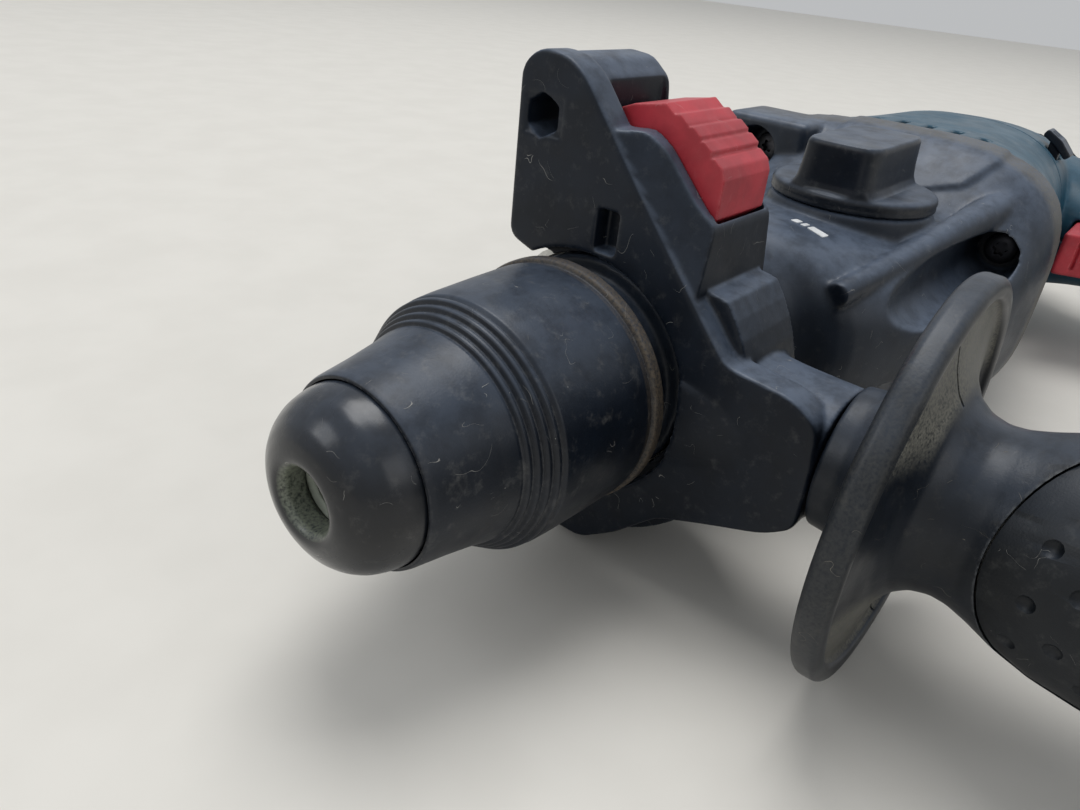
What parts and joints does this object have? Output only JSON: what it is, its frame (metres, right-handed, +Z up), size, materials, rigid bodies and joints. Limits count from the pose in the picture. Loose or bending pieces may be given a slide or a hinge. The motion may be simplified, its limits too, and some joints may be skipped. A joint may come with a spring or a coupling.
{
  "type": "rotary hammer",
  "caption": "Corded rotary hammer with a keyless bit chuck, mode knob, in-line motor, pistol grip and a clamped side handle with a depth-stop button, lying on its side.",
  "frame": {"origin": "middle of the object's box on the surface that it lies on", "axes": "+X forwards along the spindle to the bit, +Y from the spindle towards the free ends of the pistol grip and side handle, +Z up, out of the tool's left side, which carries the mode knob"},
  "size_m": [0.3768, 0.225, 0.1008],
  "materials": {
    "charcoal_plastic": "moulded glass-filled nylon, satin, fine grain, edges worn lighter",
    "teal_plastic": "dark teal moulded nylon, soft sheen",
    "black_rubber": "soft-touch elastomer, satin black",
    "gloss_black_plastic": "black, smooth and slightly glossy",
    "red_plastic": "red, matt, edges worn",
    "bright_steel": "ground and lightly oiled steel",
    "dark_steel": "oil-blackened steel",
    "copper": "enamelled copper wire and turned copper",
    "brass": "turned bronze bush",
    "aluminium": "die-cast aluminium",
    "carbon": "pressed carbon",
    "pale_plastic": "pale nylon"
  },
  "bodies": {
    "housing": {"gear_housing": "charcoal_plastic", "motor_housing": "teal_plastic", "left_handle_shell": "teal_plastic", "right_handle_shell": "teal_plastic", "grip_rubber": "black_rubber", "housing_screw_1": "dark_steel", "housing_screw_2": "dark_steel", "housing_screw_3": "dark_steel", "housing_screw_4": "dark_steel", "handle_screw_1": "dark_steel", "handle_screw_2": "dark_steel", "handle_screw_3": "dark_steel", "switch_module": "gloss_black_plastic", "cord_inlet": "black_rubber", "bearing_bracket": "aluminium", "armature_bearing_front": "dark_steel", "armature_bearing_rear": "dark_steel", "intermediate_bearing": "dark_steel", "intermediate_bush": "brass", "stator_core": "dark_steel", "field_winding": "copper", "brush_carrier": "charcoal_plastic", "carbon_brush_left": "carbon", "carbon_brush_right": "carbon", "brush_spring_left": "bright_steel", "brush_spring_right": "bright_steel", "spindle_bearing": "dark_steel", "spindle_seal": "black_rubber"},
    "spindle": {"hammer_tube": "bright_steel", "spindle_gear": "bright_steel", "dust_cap": "gloss_black_plastic", "locking_ball_left": "bright_steel", "locking_ball_right": "bright_steel", "sleeve_spring": "bright_steel"},
    "locking_sleeve": {"locking_sleeve": "charcoal_plastic"},
    "armature": {"armature_shaft": "bright_steel", "armature_core": "dark_steel", "armature_winding": "copper", "commutator": "copper", "cooling_fan": "pale_plastic"},
    "intermediate": {"intermediate_shaft": "bright_steel", "intermediate_gear": "bright_steel", "wobble_hub": "bright_steel"},
    "wobble": {"wobble_plate": "bright_steel"},
    "piston": {"piston": "bright_steel", "piston_seal": "black_rubber"},
    "striker": {"striker": "bright_steel"},
    "impact_bolt": {"impact_bolt": "bright_steel"},
    "mode_knob": {"mode_knob": "gloss_black_plastic"},
    "shift_plate": {"shift_plate": "dark_steel"},
    "trigger": {"trigger": "red_plastic"},
    "lock_on_button": {"lock_on_button": "charcoal_plastic"},
    "direction_lever": {"direction_lever": "charcoal_plastic"},
    "side_handle": {"side_handle_collar": "charcoal_plastic", "clamp_band": "bright_steel", "clamp_bolt": "dark_steel"},
    "side_grip": {"side_handle_grip": "charcoal_plastic", "side_handle_rubber": "black_rubber", "clamp_nut": "dark_steel"},
    "depth_stop_button": {"depth_stop_button": "red_plastic"}
  },
  "joints": [
    {"name": "armature_spin", "type": "hinge", "parent": "housing", "child": "armature", "pos_m": [-0.0641, -0.0675, 0.04], "axis": [1, 0, 0], "continuous": true},
    {"name": "intermediate_spin", "type": "hinge", "parent": "housing", "child": "intermediate", "pos_m": [0.0299, -0.0465, 0.04], "axis": [1, 0, 0], "continuous": true},
    {"name": "spindle_spin", "type": "hinge", "parent": "housing", "child": "spindle", "pos_m": [0.0959, -0.0725, 0.04], "axis": [1, 0, 0], "continuous": true},
    {"name": "sleeve_slide", "type": "slide", "parent": "spindle", "child": "locking_sleeve", "axis": [-1, 0, 0], "range_m": [0, 0.006], "stiffness_N_per_m": 900, "springref_m": -0.006, "deforming": ["sleeve_spring"]},
    {"name": "wobble_rock", "type": "hinge", "parent": "housing", "child": "wobble", "pos_m": [0.0299, -0.0465, 0.04], "axis": [0, 0, 1], "range_deg": [-12.5, 12.5]},
    {"name": "piston_slide", "type": "slide", "parent": "housing", "child": "piston", "axis": [1, 0, 0], "range_m": [-0.0056, 0.0056]},
    {"name": "striker_slide", "type": "slide", "parent": "housing", "child": "striker", "axis": [1, 0, 0], "range_m": [-0.0095, 0.0015]},
    {"name": "impact_bolt_slide", "type": "slide", "parent": "housing", "child": "impact_bolt", "axis": [1, 0, 0], "range_m": [-0.002, 0]},
    {"name": "mode_knob_turn", "type": "hinge", "parent": "housing", "child": "mode_knob", "pos_m": [0.0259, -0.0565, 0.07], "axis": [0, 0, 1], "range_deg": [-90, 90]},
    {"name": "shift_plate_slide", "type": "slide", "parent": "housing", "child": "shift_plate", "axis": [1, 0, 0], "range_m": [-0.0045, 0.0045]},
    {"name": "trigger_pull", "type": "slide", "parent": "housing", "child": "trigger", "axis": [-1, 0, 0], "range_m": [0, 0.006], "stiffness_N_per_m": 700, "springref_m": -0.004},
    {"name": "lock_on_press", "type": "slide", "parent": "housing", "child": "lock_on_button", "axis": [0, 0, -1], "range_m": [0, 0.003], "stiffness_N_per_m": 500, "springref_m": -0.002},
    {"name": "direction_lever_slide", "type": "slide", "parent": "housing", "child": "direction_lever", "axis": [1, 0, 0], "range_m": [-0.0035, 0.0035]},
    {"name": "side_handle_swivel", "type": "hinge", "parent": "housing", "child": "side_handle", "pos_m": [0.1069, -0.0725, 0.04], "axis": [1, 0, 0], "continuous": true},
    {"name": "side_grip_turn", "type": "hinge", "parent": "side_handle", "child": "side_grip", "pos_m": [0.1089, 0.0275, 0.04], "axis": [0, 1, 0], "range_deg": [0, 360]},
    {"name": "depth_stop_press", "type": "slide", "parent": "side_handle", "child": "depth_stop_button", "axis": [0, -0.7071, -0.7071], "range_m": [0, 0.0025], "stiffness_N_per_m": 600, "springref_m": -0.002}
  ],
  "couplings": [
    {"joint": "intermediate_spin", "follows": "armature_spin", "ratio": -0.19048},
    {"joint": "spindle_spin", "follows": "armature_spin", "ratio": 0.063492},
    {"joint": "wobble_rock", "follows": "piston_slide", "rad_per_m": 38.462},
    {"joint": "mode_knob_turn", "follows": "shift_plate_slide", "rad_per_m": -348.92}
  ]
}
